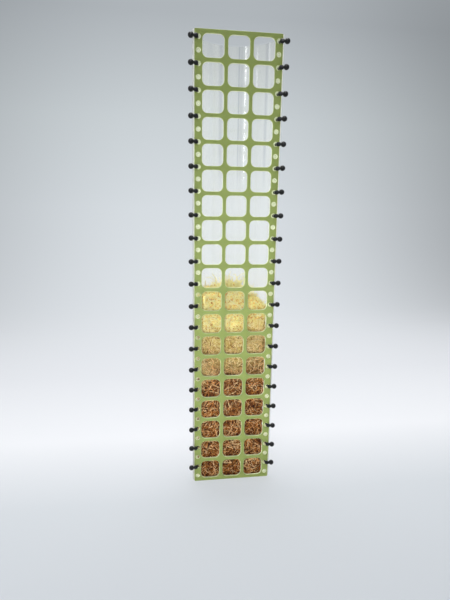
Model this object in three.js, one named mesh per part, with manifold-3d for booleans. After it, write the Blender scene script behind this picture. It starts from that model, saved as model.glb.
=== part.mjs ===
// Plant support pole: a moulded grid panel, a clear sheet that bows behind it and is held to its two
// side strips by a row of bead-headed pins each, and the moss that fills the half-round hollow.
//
// Millimetres. +X is to the right seen from the front, -Y is the front, +Z is up. The pole stands on
// z = 0, with the origin under the middle of its bounding box.

import * as THREE from "three";
import { mergeVertices } from "three/addons/utils/BufferGeometryUtils.js";
import Module from "manifold-3d";

const wasm = await Module();
wasm.setup();

// Grid panel
const panelWidth = 80;
const panelHeight = 442;
const panelThickness = 1.6;
const panelCornerRadius = 1.2;
const stripWidth = 7.2;
const uprightWidth = 3.6;
const crossBarHeight = 3.8;
const cellColumns = 3;
const cellRows = 19;
const cellCornerRadius = 4.6;

// Row of holes down each side strip, of which every second one takes a pin
const stripHoleDiameter = 4;
const stripHoleCount = 40;
const endHoleDistance = 6.5;
const holesPerPin = 2;

// Clear sheet: flat margins behind the side strips, folded back at the strips' outer edges
const sheetThickness = 0.5;
const sheetOverhang = 1.4;
const sheetFoldRadius = 0.3;
const sheetBowDepth = 40.9;
const sheetMarginSetback = 0.8;

// Bead-headed pin: barbed stem, flat neck over the strip's outer margin, round bead beside it
const stemDiameter = 1.6;
const barbDiameter = 2.7;
const barbLength = 2.6;
const barbTipDiameter = 0.7;
const barbShoulderLength = 0.2;
const neckHeight = 2.9;
const neckThickness = 1.9;
const beadDiameter = 5.2;
const beadOffset = 6.84;
const beadForward = 2;
const beadRise = 0.5;

// Moss fill
const mossHeight = 206;
const mossTilt = 12;
const mossCrown = 5;
const mossWaveHeight = 1.1;
const mossShoulderShare = 3.4;
const mossTopRingShares = [1, 0.55];

// Waves in the moss's top: radians over the panel's half width, over the bow's depth, and a start
const mossWaves = [[5, 4, 0], [9, -3, 1]];

// Clearances between pieces that touch on the real pole
const seatGap = 0.3;
const holeGap = 0.3;
const mossGap = 0.5;

// Overrun of every cutting tool past the faces that it cuts
const cutOverrun = 1;

// Smoothness of the faceted curves
const cellCornerSteps = 3;
const panelCornerSteps = 2;
const holeSides = 8;
const foldSteps = 3;
const bowSteps = 28;
const pinSides = 8;
const mossArcSteps = 14;
const mossFrontSteps = 6;

// Sizes that follow from those above
const halfWidth = panelWidth / 2;
const cellWidth = (panelWidth - 2 * stripWidth - (cellColumns - 1) * uprightWidth) / cellColumns;
const columnPitch = cellWidth + uprightWidth;
const rowPitch = (panelHeight - crossBarHeight) / cellRows;
const cellHeight = rowPitch - crossBarHeight;
const holeOffset = halfWidth - stripWidth / 2;
const holePitch = (panelHeight - 2 * endHoleDistance) / (stripHoleCount - 1);
const sheetFront = panelThickness + seatGap;
const sheetMarginBack = sheetFront + sheetThickness;
const sheetHalfWidth = halfWidth + sheetOverhang;
const sheetMarginEnd = halfWidth - stripWidth + sheetMarginSetback;
const sheetApex = panelThickness + sheetBowDepth;
const sheetOuterFold = sheetFoldRadius + sheetThickness;
const foldX = sheetHalfWidth - sheetOuterFold;
const foldY = sheetFront + sheetOuterFold;
const stemRadius = stemDiameter / 2;
const stemShift = stripHoleDiameter / 2 - holeGap - stemRadius;
const barbShoulder = sheetMarginBack + seatGap;
const barbTip = barbShoulder + barbLength;
const beadRadius = beadDiameter / 2;
const frontReach = beadForward + beadRadius;

// Points of an elliptical arc, in equal steps of angle, both ends included
function arcPoints(centreX, centreY, radiusX, radiusY, startAngle, endAngle, steps) {
  const points = [];
  for (let step = 0; step <= steps; step += 1) {
    const angle = startAngle + ((endAngle - startAngle) * step) / steps;
    const x = centreX + radiusX * Math.cos(angle);
    const y = centreY + radiusY * Math.sin(angle);
    points.push(new THREE.Vector2(x, y));
  }
  return points;
}

// Points round a rectangle with rounded corners, anticlockwise from its lower right corner
function roundedRectangle(centreX, centreY, width, height, radius, steps) {
  const quarter = Math.PI / 2;
  const insetX = width / 2 - radius;
  const insetY = height / 2 - radius;
  const cornerSigns = [[1, -1], [1, 1], [-1, 1], [-1, -1]];
  return cornerSigns.flatMap(([signX, signY], corner) => {
    const start = (corner - 1) * quarter;
    const x = centreX + signX * insetX;
    const y = centreY + signY * insetY;
    return arcPoints(x, y, radius, radius, start, start + quarter, steps);
  });
}

// Points round a circle of few sides, whose first and last point differ
function circlePoints(centreX, centreY, radius, sides) {
  const points = arcPoints(centreX, centreY, radius, radius, 0, 2 * Math.PI, sides);
  points.pop();
  return points;
}

// Height of each hole in a side strip, from the top one down
function stripHoleHeights() {
  const heights = [];
  for (let index = 0; index < stripHoleCount; index += 1) {
    heights.push(panelHeight - endHoleDistance - index * holePitch);
  }
  return heights;
}

// Height of each pin, from the top one down
function pinHeights() {
  return stripHoleHeights().filter((height, index) => index % holesPerPin === 0);
}

// A closed body made of rings of points, with a fan over each end
function loft(rings, firstTip, lastTip) {
  const sides = rings[0].length;
  const vertices = [firstTip, ...rings.flat(), lastTip];
  const last = vertices.length - 1;
  const triangles = [];
  for (let side = 0; side < sides; side += 1) {
    const next = (side + 1) % sides;
    triangles.push(0, 1 + next, 1 + side);
    for (let ring = 0; ring < rings.length - 1; ring += 1) {
      const near = 1 + ring * sides;
      const far = near + sides;
      triangles.push(near + side, near + next, far + next);
      triangles.push(near + side, far + next, far + side);
    }
    triangles.push(last - sides + side, last - sides + next, last);
  }
  const geometry = new THREE.BufferGeometry();
  geometry.setFromPoints(vertices);
  geometry.setIndex(triangles);
  geometry.computeVertexNormals();
  return geometry;
}

// A solid for boolean work, from a closed geometry
function toSolid(geometry) {
  const bare = geometry.clone();
  bare.deleteAttribute("normal");
  bare.deleteAttribute("uv");
  const merged = mergeVertices(bare);
  const mesh = new wasm.Mesh({
    numProp: 3,
    vertProperties: new Float32Array(merged.attributes.position.array),
    triVerts: new Uint32Array(merged.index.array),
  });
  return new wasm.Manifold(mesh);
}

// A geometry, from the solid that boolean work gave
function toGeometry(solid) {
  const mesh = solid.getMesh();
  const geometry = new THREE.BufferGeometry();
  geometry.setAttribute("position", new THREE.BufferAttribute(mesh.vertProperties, mesh.numProp));
  geometry.setIndex(new THREE.BufferAttribute(mesh.triVerts, 1));
  geometry.computeVertexNormals();
  return geometry;
}

// Grid panel: a flat plate drawn in its own width and height, with rounded cells and two rows of holes
function gridPanelGeometry() {
  const outline = roundedRectangle(
    0, panelHeight / 2, panelWidth, panelHeight, panelCornerRadius, panelCornerSteps);
  const plate = new THREE.Shape(outline);
  for (let row = 0; row < cellRows; row += 1) {
    for (let column = 0; column < cellColumns; column += 1) {
      const x = (column - (cellColumns - 1) / 2) * columnPitch;
      const z = crossBarHeight / 2 + (row + 1 / 2) * rowPitch;
      const cell = roundedRectangle(x, z, cellWidth, cellHeight, cellCornerRadius, cellCornerSteps);
      plate.holes.push(new THREE.Path(cell));
    }
  }
  for (const height of stripHoleHeights()) {
    for (const side of [-1, 1]) {
      const hole = circlePoints(side * holeOffset, height, stripHoleDiameter / 2, holeSides);
      plate.holes.push(new THREE.Path(hole));
    }
  }
  return new THREE.ExtrudeGeometry(plate, { depth: panelThickness, bevelEnabled: false });
}

// One skin of the sheet's section, from the left margin's end round the bow to the right one's
function sheetSkin(marginY, inset) {
  const fold = sheetOuterFold - inset;
  const bowX = sheetHalfWidth - inset;
  const bowY = sheetApex - inset - foldY;
  return [
    new THREE.Vector2(-sheetMarginEnd, marginY),
    ...arcPoints(-foldX, foldY, fold, fold, -Math.PI / 2, -Math.PI, foldSteps),
    ...arcPoints(0, foldY, bowX, bowY, Math.PI, 0, bowSteps).slice(1, -1),
    ...arcPoints(foldX, foldY, fold, fold, 0, -Math.PI / 2, foldSteps),
    new THREE.Vector2(sheetMarginEnd, marginY),
  ];
}

// Clear sheet: its section drawn from above and run up the whole pole, with a hole for each pin
function clearSheetGeometry() {
  const outerSkin = sheetSkin(sheetFront, 0);
  const innerSkin = sheetSkin(sheetMarginBack, sheetThickness);
  const section = new THREE.Shape([...outerSkin, ...innerSkin.reverse()]);
  const bowed = new THREE.ExtrudeGeometry(section, { depth: panelHeight, bevelEnabled: false });
  const drillRadius = stemRadius + holeGap;
  const drillLength = sheetThickness + 2 * cutOverrun;
  const drill = new THREE.CylinderGeometry(drillRadius, drillRadius, drillLength, holeSides);
  let sheet = toSolid(bowed);
  for (const height of pinHeights()) {
    for (const side of [-1, 1]) {
      const x = side * (holeOffset + stemShift);
      const placed = drill.clone().translate(x, sheetFront + sheetThickness / 2, height);
      sheet = sheet.subtract(toSolid(placed));
    }
  }
  return toGeometry(sheet);
}

// One ring of a pin's loft: an ellipse square to the pin's run, which is in the plane z = rise
function pinRing(side, x, y, rise, turn, halfThickness, halfHeight) {
  const points = [];
  for (let index = 0; index < pinSides; index += 1) {
    const angle = (2 * Math.PI * index) / pinSides;
    const across = halfThickness * Math.cos(angle);
    points.push(new THREE.Vector3(
      side * (x - across * Math.cos(turn)),
      y - across * Math.sin(turn),
      rise - side * halfHeight * Math.sin(angle)));
  }
  return points;
}

// Pin, with its hole's centre on the strip's front face at zero and the bead outwards on its side
function pinGeometry(side) {
  const neckY = -seatGap - neckThickness / 2;
  const neckStart = stemShift + stemRadius + neckThickness / 2;
  const neckEnd = beadOffset - beadRadius;
  const neckHalfThickness = neckThickness / 2;
  const neckHalfHeight = neckHeight / 2;
  const elbowHalfThickness = Math.hypot(stemDiameter, neckThickness) / 2;
  const elbowHalfHeight = (stemRadius + neckHalfHeight) / 2;
  const capAngle = Math.PI / 4;
  const capOffset = beadRadius * Math.cos(capAngle);
  const capRadius = beadRadius * Math.sin(capAngle);
  const stemTurn = 0;
  const elbowTurn = Math.atan2(neckThickness, stemDiameter);
  const neckTurn = Math.PI / 2;
  const stem = (y, diameter) => pinRing(side, stemShift, y, 0, stemTurn, diameter / 2, diameter / 2);
  const neck = (x, rise) =>
    pinRing(side, x, neckY, rise, neckTurn, neckHalfThickness, neckHalfHeight);
  const bead = (offset, radius) =>
    pinRing(side, beadOffset + offset, -beadForward, beadRise, neckTurn, radius, radius);
  const rings = [
    stem(barbTip, barbTipDiameter),
    stem(barbShoulder + barbShoulderLength, barbDiameter),
    stem(barbShoulder, stemDiameter),
    stem(0, stemDiameter),
    pinRing(side, stemShift, neckY, 0, elbowTurn, elbowHalfThickness, elbowHalfHeight),
    neck(neckStart, 0),
    neck(neckEnd, beadRise / 2),
    bead(-capOffset, capRadius),
    bead(0, beadRadius),
    bead(capOffset, capRadius),
  ];
  const tipPoint = new THREE.Vector3(side * stemShift, barbTip, 0);
  const crown = new THREE.Vector3(side * (beadOffset + beadRadius), -beadForward, beadRise);
  return loft(rings, tipPoint, crown);
}

// Moss outline seen from above: flat behind the panel, cut back beside the barbs, then the sheet's bow
function mossOutline() {
  const inset = sheetThickness + mossGap;
  const radiusX = sheetHalfWidth - inset;
  const radiusY = sheetApex - inset - foldY;
  const shoulderDepth = mossShoulderShare * (barbTip - sheetFront);
  const startAngle = Math.asin(shoulderDepth / radiusY);
  const frontHalf = sheetMarginEnd - mossGap;
  const frontY = panelThickness + seatGap;
  const points = [];
  for (let step = 0; step <= mossFrontSteps; step += 1) {
    points.push(new THREE.Vector2(frontHalf * ((2 * step) / mossFrontSteps - 1), frontY));
  }
  points.push(...arcPoints(0, foldY, radiusX, radiusY, startAngle, Math.PI - startAngle, mossArcSteps));
  return points;
}

// Height of the moss's loose top: lower to the right, a little crowned, uneven by a few waves
function mossTop(x, y) {
  const across = x / halfWidth;
  const along = (y - sheetFront) / sheetBowDepth;
  const crown = mossCrown * (1 - across * across);
  let height = mossHeight - mossTilt * across + crown;
  for (const [turnsAcross, turnsAlong, start] of mossWaves) {
    height += mossWaveHeight * Math.sin(turnsAcross * across + turnsAlong * along + start);
  }
  return height;
}

// Moss fill: the outline run up to its uneven top, which closes over in two rings
function mossGeometry() {
  const outline = mossOutline();
  const middleY = (sheetFront + sheetApex) / 2;
  const bottom = outline.map((point) => new THREE.Vector3(point.x, point.y, 0));
  const topRings = mossTopRingShares.map((share) => outline.map((point) => {
    const x = point.x * share;
    const y = middleY + (point.y - middleY) * share;
    return new THREE.Vector3(x, y, mossTop(x, y));
  }));
  const bottomMiddle = new THREE.Vector3(0, middleY, 0);
  const topMiddle = new THREE.Vector3(0, middleY, mossTop(0, middleY));
  return loft([bottom, ...topRings], bottomMiddle, topMiddle);
}

const greenPlastic = { color: 0x7d8b4f, roughness: 0.62, metalness: 0 };
const clearPlastic = { color: 0xe4ecef, roughness: 0.12, metalness: 0, transparent: true, opacity: 0.3 };
const blackPlastic = { color: 0x24282a, roughness: 0.38, metalness: 0 };
const paleMoss = { color: 0xc4b173, roughness: 0.95, metalness: 0 };

function piece(name, geometry, finish) {
  const mesh = new THREE.Mesh(geometry, new THREE.MeshStandardMaterial(finish));
  mesh.name = name;
  return mesh;
}

// The pole: the panel's front face is the plane that the other pieces are placed from
const pole = new THREE.Group();
pole.position.y = (frontReach - sheetApex) / 2;

// The panel is drawn flat, so it is stood up and set with its front face on that plane
const gridPanel = piece("grid_panel", gridPanelGeometry(), greenPlastic);
gridPanel.rotation.x = Math.PI / 2;
gridPanel.position.y = panelThickness;
pole.add(gridPanel);

pole.add(piece("clear_sheet", clearSheetGeometry(), clearPlastic));
pole.add(piece("moss_fill", mossGeometry(), paleMoss));

const pinSidesOfPole = [["left", -1], ["right", 1]];
for (const [sideName, side] of pinSidesOfPole) {
  const pinShape = pinGeometry(side);
  pinHeights().forEach((height, index) => {
    const number = String(index + 1).padStart(2, "0");
    const pin = piece(`pin_${sideName}_${number}`, pinShape, blackPlastic);
    pin.position.set(side * holeOffset, 0, height);
    pole.add(pin);
  });
}

export default pole;
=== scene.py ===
"""Looks of the plant support pole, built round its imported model.

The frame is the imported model's: metres, X across the panel, Y from its front to the sheet behind it, and
Z up. Each sub-assembly is a class whose fields hold its sizes in millimetres.
"""

import logging
import math
from abc import ABC, abstractmethod
from collections.abc import Callable
from dataclasses import dataclass
from enum import Enum
from functools import partial

import bmesh
import bpy
import numpy as np
from bpy.types import Material, Mesh, Node, NodeSocket, NodeTree, Object, World
from mathutils import Matrix, Vector, noise


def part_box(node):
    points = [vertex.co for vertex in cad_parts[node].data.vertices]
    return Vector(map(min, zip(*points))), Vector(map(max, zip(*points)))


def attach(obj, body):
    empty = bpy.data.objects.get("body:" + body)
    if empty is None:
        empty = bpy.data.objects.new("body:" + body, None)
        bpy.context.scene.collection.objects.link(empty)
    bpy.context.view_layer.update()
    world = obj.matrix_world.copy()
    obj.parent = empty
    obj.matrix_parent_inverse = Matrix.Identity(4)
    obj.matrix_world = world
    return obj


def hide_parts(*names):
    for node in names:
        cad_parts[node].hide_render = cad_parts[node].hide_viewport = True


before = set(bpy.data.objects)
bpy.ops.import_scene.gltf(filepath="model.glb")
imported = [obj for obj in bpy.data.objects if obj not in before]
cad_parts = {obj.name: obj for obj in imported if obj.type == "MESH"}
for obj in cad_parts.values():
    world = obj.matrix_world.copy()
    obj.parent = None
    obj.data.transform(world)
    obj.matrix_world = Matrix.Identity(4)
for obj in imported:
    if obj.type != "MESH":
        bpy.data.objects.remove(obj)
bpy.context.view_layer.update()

MM = 0.001
BODY = "root"
WELD_DISTANCE = 0.001 * MM
UPRIGHT = (math.pi / 2, 0.0, 0.0)
log = logging.getLogger("plant_support_pole")

Colour = tuple[float, float, float, float]
Point = tuple[float, float, float]
FlatPoint = tuple[float, float]
Stops = tuple[tuple[float, str], ...]
Faces = list[tuple[int, ...]]
Adder = Callable[..., Node]


class Slot(Enum):
    """Material slots that the record names."""

    GREEN = "green_plastic"
    CLEAR = "clear_plastic"
    BLACK = "black_plastic"
    MOSS = "moss"


class Side(Enum):
    """Sides of the panel, by the sign of X."""

    LEFT = -1
    RIGHT = 1


def linear(code: str) -> Colour:
    """Turn an sRGB hex colour into a linear one.

    Args:
        code: Colour as # and six hex digits.

    Returns:
        Linear red, green, blue and a full alpha.
    """
    shares = [int(code[start : start + 2], 16) / 255 for start in (1, 3, 5)]
    channels = [s / 12.92 if s <= 0.04045 else ((s + 0.055) / 1.055) ** 2.4 for s in shares]
    return (*channels, 1.0)


def scale_of(size_mm: float) -> float:
    """Give the texture scale that draws a pattern at a size in millimetres."""
    return 1 / (size_mm * MM)


def add_node(
    tree: NodeTree, kind: str, inputs: dict[str | int, object] | None = None, **settings: object
) -> Node:
    """Add one node to a tree, with its settings, its values and its links.

    Args:
        tree: Shader or geometry tree that takes the node.
        kind: Blender's name for the kind of node.
        inputs: What goes into each input, by its name or number: a value, a socket, a node for its first
            output, or a list of those for an input that takes several.
        settings: The node's own settings, by attribute.

    Returns:
        The new node.
    """
    node = tree.nodes.new(kind)
    for name, value in settings.items():
        setattr(node, name, value)
    for key, given in (inputs or {}).items():
        if isinstance(key, int):
            socket = node.inputs[key]
        else:
            socket = next(s for s in node.inputs if s.enabled and s.name == key)
        for source in given if isinstance(given, list) else [given]:
            if isinstance(source, Node):
                source = next(s for s in source.outputs if s.enabled)
            if isinstance(source, NodeSocket):
                tree.links.new(source, socket)
            else:
                socket.default_value = source
    return node


def seen_directly(add: Adder) -> Node:
    """Add nodes that give 1 where the camera, a gloss or a clear wall shows a background, else 0.

    Args:
        add: Adder of the background's shader tree.

    Returns:
        The node that gives the number.
    """
    path = add("ShaderNodeLightPath")
    shown = path.outputs["Is Camera Ray"]
    for kind in ("Is Glossy Ray", "Is Transmission Ray"):
        shown = add("ShaderNodeMath", {0: shown, 1: path.outputs[kind]}, operation="MAXIMUM")
    return shown


def set_stops(ramp: Node, stops: Stops) -> None:
    """Give a colour ramp its stops, spread from the first one's place to the last one's.

    Args:
        ramp: The colour ramp.
        stops: Place and sRGB hex colour of each stop, in order.
    """
    first, last = stops[0][0], stops[-1][0]
    elements = ramp.color_ramp.elements
    elements[0].color, elements[1].color = linear(stops[0][1]), linear(stops[-1][1])
    for place, code in stops[1:-1]:
        elements.new((place - first) / (last - first)).color = linear(code)


def arc(centre: FlatPoint, radii: FlatPoint, start: float, sweep: float, steps: int) -> list[FlatPoint]:
    """Give the points of an elliptical arc in equal steps of angle, with both its ends.

    Args:
        centre: Middle of the ellipse.
        radii: Its half axes.
        start: Angle of the first point.
        sweep: Angle from the first point on to the last.
        steps: Number of steps.

    Returns:
        The points in order.
    """
    angles = [start + sweep * step / steps for step in range(steps + 1)]
    return [(centre[0] + radii[0] * math.cos(a), centre[1] + radii[1] * math.sin(a)) for a in angles]


def ring_faces(rings: int, count: int) -> Faces:
    """Give the four-cornered faces between closed rings of points that follow each other.

    Args:
        rings: Number of rings.
        count: Number of points in each.

    Returns:
        Point numbers of each face.
    """
    faces = []
    for low in range(0, (rings - 1) * count, count):
        high = low + count
        for index in range(count):
            after = (index + 1) % count
            faces.append((low + index, low + after, high + after, high + index))
    return faces


def new_object(name: str, data: bpy.types.ID) -> Object:
    """Put a mesh, a lamp or a camera into the scene as an object at the origin.

    Args:
        name: Name of the object.
        data: What it shows.

    Returns:
        The new object.
    """
    made = bpy.data.objects.new(name, data)
    bpy.context.scene.collection.objects.link(made)
    return made


def mesh_of(name: str, points: list[Vector], faces: Faces) -> Mesh:
    """Make a mesh from points in metres.

    Args:
        name: Name of the mesh.
        points: Its points.
        faces: Point numbers of each face.

    Returns:
        The new mesh.
    """
    mesh = bpy.data.meshes.new(name)
    mesh.from_pydata([tuple(point) for point in points], [], faces)
    mesh.update()
    return mesh


def close_and_turn_out(mesh: Mesh) -> None:
    """Weld a mesh's doubled points and turn its faces outwards.

    Args:
        mesh: The mesh to mend.
    """
    work = bmesh.new()
    work.from_mesh(mesh)
    bmesh.ops.remove_doubles(work, verts=work.verts, dist=WELD_DISTANCE)
    bmesh.ops.recalc_face_normals(work, faces=work.faces)
    work.to_mesh(mesh)
    work.free()


def bake(piece: Object) -> None:
    """Turn an object's modifiers into its plain mesh.

    Args:
        piece: The object.
    """
    graph = bpy.context.evaluated_depsgraph_get()
    evaluated = piece.evaluated_get(graph)
    mesh = bpy.data.meshes.new_from_object(evaluated, preserve_all_data_layers=True, depsgraph=graph)
    mesh.name = piece.name
    piece.modifiers.clear()
    piece.data = mesh
    close_and_turn_out(mesh)


def hand_over(piece: Object, slot: Slot, nodes: list[str]) -> Object:
    """Give a finished piece its body and hide the CAD nodes that it stands for.

    Args:
        piece: The finished piece, with a plain mesh.
        slot: Material slot of the record; not used.
        nodes: CAD nodes that it replaces, if any.

    Returns:
        The same piece.
    """
    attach(piece, BODY)
    if nodes:
        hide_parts(*nodes)
    return piece


class Recipe:
    """A geometry node tree with named inputs for its sizes."""

    def __init__(self, name: str, lengths: dict[str, float], numbers: dict[str, float | int]) -> None:
        """Start a tree.

        Args:
            name: Name of the tree and of its modifier.
            lengths: Value of each named length, in millimetres.
            numbers: Value of each other named input, such as a count, an angle or a seed.
        """
        self.tree = bpy.data.node_groups.new(name, "GeometryNodeTree")
        self.add: Adder = partial(add_node, self.tree)
        interface = self.tree.interface
        for end in ("INPUT", "OUTPUT"):
            interface.new_socket("Geometry", in_out=end, socket_type="NodeSocketGeometry")
        self.values: dict[str, float | int] = {}
        for label, value in ({label: length * MM for label, length in lengths.items()} | numbers).items():
            kind = "NodeSocketInt" if isinstance(value, int) else "NodeSocketFloat"
            socket = interface.new_socket(label, in_out="INPUT", socket_type=kind)
            self.values[socket.identifier] = value
        self.start = self.add("NodeGroupInput")

    def size(self, label: str) -> NodeSocket:
        """Give the socket of a named input."""
        return self.start.outputs[label]

    def close(self, result: Node, material: Material) -> None:
        """End the tree: realize, give the material and put out the result.

        Args:
            result: Node with the finished geometry.
            material: Material of the whole result.
        """
        real = self.add("GeometryNodeRealizeInstances", {"Geometry": result})
        dressed = self.add("GeometryNodeSetMaterial", {"Geometry": real, "Material": material})
        self.add("NodeGroupOutput", {"Geometry": dressed})

    def run(self, piece: Object) -> None:
        """Run the tree on an object and keep the result as its mesh.

        Args:
            piece: The object that gives the tree its geometry.
        """
        modifier = piece.modifiers.new(self.tree.name, "NODES")
        modifier.node_group = self.tree
        for identifier, value in self.values.items():
            modifier[identifier] = value
        bake(piece)


@dataclass(frozen=True)
class Finish(ABC):
    """A material and the process that gives its surface."""

    name: str

    @abstractmethod
    def shade(self, add: Adder) -> Node:
        """Add the shader's nodes.

        Args:
            add: Adder of the material's tree.

        Returns:
            The last node.
        """

    def material(self) -> Material:
        """Make the material.

        Returns:
            The new material.
        """
        material = bpy.data.materials.new(self.name)
        material.use_nodes = True
        material.node_tree.nodes.clear()
        add = partial(add_node, material.node_tree)
        add("ShaderNodeOutputMaterial", {"Surface": self.shade(add)})
        return material


@dataclass(frozen=True)
class MouldedPolypropylene(Finish):
    """Injection-moulded polypropylene in moss green.

    It gives the eye a satin, slightly waxy face, faint clouds where the melt flowed, a fine mould grain, and
    a painted highlight: a pale yellow-green laid on the rounded edges round the openings.
    """

    deep: str = "#84934f"
    pale: str = "#94a35a"
    # Painted highlight: the pale colour laid on the rounded edges, standing in for light caught by them
    rim: str = "#f0f5cb"
    ior: float = 1.49
    roughness: float = 0.4
    specular_level: float = 0.35
    cloud_mm: float = 16.0
    # A real mould grain is near 0.1 mm, too fine to show, so it is drawn as coarse as it needs to show
    grain_mm: float = 1.1
    grain_depth_mm: float = 0.03
    painted_highlight_share: float = 0.92

    def shade(self, add: Adder) -> Node:
        """Add the shader's nodes.

        Args:
            add: Adder of the material's tree.

        Returns:
            The last node.
        """
        place = add("ShaderNodeTexCoord").outputs["Object"]
        clouds = {"Vector": place, "Scale": scale_of(self.cloud_mm), "Detail": 3.0, "Roughness": 0.6}
        mottle = add("ShaderNodeTexNoise", clouds)
        body = {"Fac": mottle, "Color1": linear(self.deep), "Color2": linear(self.pale)}
        # Painted highlight on the rounded edges, strongest round cells and holes
        share = add("ShaderNodeAttribute", attribute_name=GridPanel.RIM).outputs["Fac"]
        opening = add("ShaderNodeAttribute", attribute_name=GridPanel.OPENING).outputs["Fac"]
        for factor in (opening, self.painted_highlight_share):
            share = add("ShaderNodeMath", {0: share, 1: factor}, operation="MULTIPLY")
        highlighted = {"Fac": share, "Color1": add("ShaderNodeMixRGB", body), "Color2": linear(self.rim)}
        grain = add("ShaderNodeTexNoise", {"Vector": place, "Scale": scale_of(self.grain_mm), "Detail": 2.0})
        relief = {"Strength": 0.6, "Distance": self.grain_depth_mm * MM, "Height": grain}
        return add(
            "ShaderNodeBsdfPrincipled",
            {
                "Base Color": add("ShaderNodeMixRGB", highlighted),
                "Roughness": self.roughness,
                "IOR": self.ior,
                "Specular IOR Level": self.specular_level,
                "Normal": add("ShaderNodeBump", relief),
            },
        )


@dataclass(frozen=True)
class ExtrudedPetSheet(Finish):
    """Extruded PET sheet, bowed cold.

    It gives the eye colourless clear gloss, upright highlights that waver along the sheet, faint upright
    bands from the extrusion die, painted shade in a few soft upright bands near the top of the bow's back,
    a thin haze from fine scuffs, folds that the bend has made matt and whitened, the right one more, and
    margins painted with a little of the panel's green light. Lamps light what is inside it. Each band of
    painted shade has its place across, its width and its share of grey.
    """

    tint: str = "#fffffb"
    haze: str = "#fbfbf6"
    # Painted light: the panel's green, laid on the margins as light bounced from the panel behind them
    painted_green_bounce: str = "#fbffd8"
    margin_end_mm: float = -15.6
    margin_blur_mm: float = 0.7
    fold_start_mm: float = 39.7
    fold_full_mm: float = 40.4
    fold_share_left: float = 0.02
    fold_share_right: float = 0.5
    film_light_share: float = 0.5
    ior: float = 1.57
    roughness: float = 0.11
    fold_roughness: float = 0.45
    wave_across_mm: float = 16.0
    wave_along_mm: float = 500.0
    wave_depth_mm: float = 0.02
    haze_most: float = 0.065
    band_across_mm: float = 8.0
    band_along_mm: float = 420.0
    # Real scuffs are hair-fine, too fine to show, so they are drawn as coarse as they need to show
    scuff_mm: float = 3.5
    scuff_share: float = 0.1
    mark_low: float = 0.36
    mark_high: float = 0.64
    # Painted shade: grey laid in upright bands near the top of the bow's back, for darker reflections
    painted_shade: str = "#c3c7d0"
    painted_shade_bands: tuple[Point, ...] = (
        (-11.0, 7.0, 0.4),
        (7.2, 2.4, 0.5),
        (9.8, 6.0, 0.25),
        (32.0, 4.0, 0.35),
    )
    shade_end_mm: float = 300.0
    shade_full_mm: float = 345.0

    def shade(self, add: Adder) -> Node:
        """Add the shader's nodes.

        Args:
            add: Adder of the material's tree.

        Returns:
            The last node.
        """
        place = add("ShaderNodeTexCoord").outputs["Object"]
        x, y, z = add("ShaderNodeSeparateXYZ", {"Vector": place}).outputs
        waves = self.upright_noise(add, place, self.wave_across_mm, self.wave_along_mm)
        relief = {"Strength": 0.5, "Distance": self.wave_depth_mm * MM, "Height": waves}
        margin_start = self.margin_end_mm + self.margin_blur_mm
        margin_range = {"Value": y, "From Min": margin_start * MM, "From Max": self.margin_end_mm * MM}
        margin = add("ShaderNodeMapRange", margin_range)
        fold_start, fold_full = self.fold_start_mm * MM, self.fold_full_mm * MM
        aside = add("ShaderNodeMath", {0: x}, operation="ABSOLUTE")
        fold_range = {"Value": aside, "From Min": fold_start, "From Max": fold_full, "To Max": margin}
        at_fold = add("ShaderNodeMapRange", fold_range)
        gloss = {"Value": at_fold, "To Min": self.roughness, "To Max": self.fold_roughness}
        # The margins behind the panel take the panel's green as painted bounced light
        behind_panel = add("ShaderNodeMath", {0: margin, 1: at_fold}, operation="SUBTRACT")
        # Painted shade in upright bands near the top of the bow's back
        shaded = self.painted_shade_mask(add, x, y, z)
        tint = linear(self.tint)
        for share, code in ((behind_panel, self.painted_green_bounce), (shaded, self.painted_shade)):
            tint = add("ShaderNodeMixRGB", {"Fac": share, "Color1": tint, "Color2": linear(code)})
        clear = add(
            "ShaderNodeBsdfPrincipled",
            {
                "Base Color": tint,
                "Roughness": add("ShaderNodeMapRange", gloss),
                "IOR": self.ior,
                "Transmission Weight": 1.0,
                "Normal": add("ShaderNodeBump", relief),
            },
        )
        share = self.haze_share(add, place)
        for side, most in ((Side.LEFT, self.fold_share_left), (Side.RIGHT, self.fold_share_right)):
            start, full = side.value * fold_start, side.value * fold_full
            fold = add("ShaderNodeMapRange", {"Value": x, "From Min": start, "From Max": full, "To Max": most})
            share = add("ShaderNodeMath", {0: margin, 1: fold, 2: share}, operation="MULTIPLY_ADD")
        white = {"Color": linear(self.haze)}
        front, through = add("ShaderNodeBsdfDiffuse", white), add("ShaderNodeBsdfTranslucent", white)
        film = add("ShaderNodeMixShader", {"Fac": self.film_light_share, 1: front, 2: through})
        hazed = add("ShaderNodeMixShader", {"Fac": share, 1: clear, 2: film})
        shadow = add("ShaderNodeLightPath").outputs["Is Shadow Ray"]
        open_to_lamps = add("ShaderNodeBsdfTransparent", {"Color": linear(self.tint)})
        return add("ShaderNodeMixShader", {"Fac": shadow, 1: hazed, 2: open_to_lamps})

    def haze_share(self, add: Adder, place: NodeSocket) -> Node:
        """Add the share of haze that the bands and the scuffs give.

        Args:
            add: Adder of the material's tree.
            place: Socket of the place on the object.

        Returns:
            The node with the share.
        """
        bands = self.upright_noise(add, place, self.band_across_mm, self.band_along_mm)
        scuffs = add("ShaderNodeTexNoise", {"Vector": place, "Scale": scale_of(self.scuff_mm), "Detail": 4.0})
        marks = add("ShaderNodeMixRGB", {"Fac": self.scuff_share, "Color1": bands, "Color2": scuffs})
        spread = {"From Min": self.mark_low, "From Max": self.mark_high, "To Max": self.haze_most}
        return add("ShaderNodeMapRange", {"Value": marks} | spread)

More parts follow.
